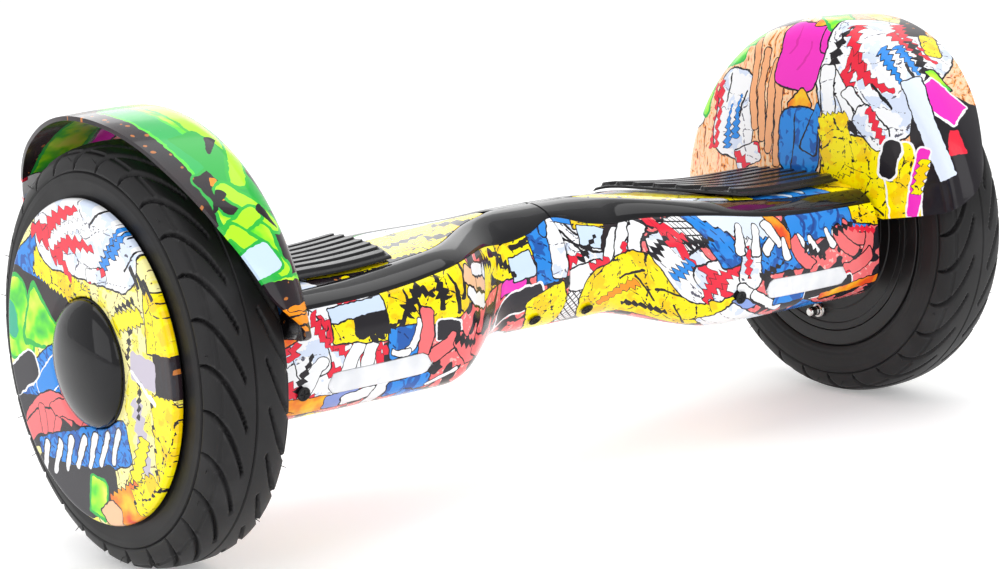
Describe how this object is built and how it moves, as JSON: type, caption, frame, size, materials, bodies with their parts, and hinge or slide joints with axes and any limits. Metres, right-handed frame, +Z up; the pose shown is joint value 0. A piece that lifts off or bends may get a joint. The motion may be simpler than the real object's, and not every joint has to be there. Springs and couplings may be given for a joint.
{
  "type": "self balancing hoverboard",
  "caption": "Self balancing board with a twisting middle joint, ribbed foot pads, fat tyres on hub motors, arched mudguards and glossy comic-print shells.",
  "frame": {"origin": "on the ground, under the middle of the board", "axes": "+X along the wheel axles towards the half that holds the battery, -Y towards the riders' toes and the front lights, +Z up"},
  "size_m": [0.687, 0.282, 0.275],
  "materials": {
    "printed_shell": "glossy water-transfer comic print",
    "black_trim": "gloss black",
    "pad_rubber": "semi-gloss ribbed rubber",
    "tyre": "black rubber with curved grooves",
    "black_rim": "satin black paint",
    "cast_metal": "as cast",
    "steel": "turned",
    "chrome": "plated",
    "lens": "frosted white",
    "circuit_board": "solder mask",
    "battery": "shrink wrap",
    "motor_core": "laminated steel with copper windings"
  },
  "bodies": {
    "left_half": {"left_axle": "steel", "left_axle_clamp": "cast_metal", "left_clamp_bolt_back": "steel", "left_clamp_bolt_front": "steel", "left_fender": "printed_shell", "left_frame": "cast_metal", "left_led_lens": "lens", "left_lower_shell": "printed_shell", "left_plug_inner": "pad_rubber", "left_plug_outer": "pad_rubber", "left_sensor_board": "circuit_board", "left_sensor_post_inner": "pad_rubber", "left_sensor_post_outer": "pad_rubber", "left_stator": "motor_core", "left_trim": "black_trim", "left_upper_shell": "printed_shell", "main_board": "circuit_board", "pivot_circlip": "steel", "pivot_tube": "steel"},
    "right_half": {"battery_pack": "battery", "charge_socket": "black_trim", "pivot_bush": "pad_rubber", "right_axle": "steel", "right_axle_clamp": "cast_metal", "right_clamp_bolt_back": "steel", "right_clamp_bolt_front": "steel", "right_fender": "printed_shell", "right_frame": "cast_metal", "right_led_lens": "lens", "right_lower_shell": "printed_shell", "right_plug_inner": "pad_rubber", "right_plug_outer": "pad_rubber", "right_sensor_board": "circuit_board", "right_sensor_post_inner": "pad_rubber", "right_sensor_post_outer": "pad_rubber", "right_stator": "motor_core", "right_trim": "black_trim", "right_upper_shell": "printed_shell"},
    "left_wheel": {"left_bearing_inner": "steel", "left_bearing_outer": "steel", "left_centre_cap": "black_trim", "left_hub_cover": "printed_shell", "left_motor_cover": "black_rim", "left_rim": "black_rim", "left_tyre": "tyre", "left_valve": "chrome"},
    "right_wheel": {"right_bearing_inner": "steel", "right_bearing_outer": "steel", "right_centre_cap": "black_trim", "right_hub_cover": "printed_shell", "right_motor_cover": "black_rim", "right_rim": "black_rim", "right_tyre": "tyre", "right_valve": "chrome"},
    "left_pad": {"left_footpad": "pad_rubber"},
    "right_pad": {"right_footpad": "pad_rubber"},
    "power_button": {"power_button": "pad_rubber"},
    "charge_cap": {"charge_cap": "pad_rubber"}
  },
  "joints": [
    {"name": "board_twist", "type": "hinge", "parent": "left_half", "child": "right_half", "pos_m": [0, 0, 0.1355], "axis": [1, 0, 0], "range_deg": [-10, 10]},
    {"name": "left_wheel_spin", "type": "hinge", "parent": "left_half", "child": "left_wheel", "pos_m": [-0.2967, 0, 0.127], "axis": [1, 0, 0], "continuous": true},
    {"name": "right_wheel_spin", "type": "hinge", "parent": "right_half", "child": "right_wheel", "pos_m": [0.2967, 0, 0.127], "axis": [1, 0, 0], "continuous": true},
    {"name": "left_pad_press", "type": "slide", "parent": "left_half", "child": "left_pad", "axis": [0, 0, -1], "range_m": [0, 0.001], "stiffness_N_per_m": 20000},
    {"name": "right_pad_press", "type": "slide", "parent": "right_half", "child": "right_pad", "axis": [0, 0, -1], "range_m": [0, 0.001], "stiffness_N_per_m": 20000},
    {"name": "power_button_press", "type": "slide", "parent": "right_half", "child": "power_button", "axis": [0, -1, 0], "range_m": [0, 0.0012], "stiffness_N_per_m": 600},
    {"name": "charge_cap_flap", "type": "hinge", "parent": "right_half", "child": "charge_cap", "pos_m": [0.15, 0.0797, 0.1345], "axis": [1, 0, 0], "range_deg": [0, 120]}
  ]
}
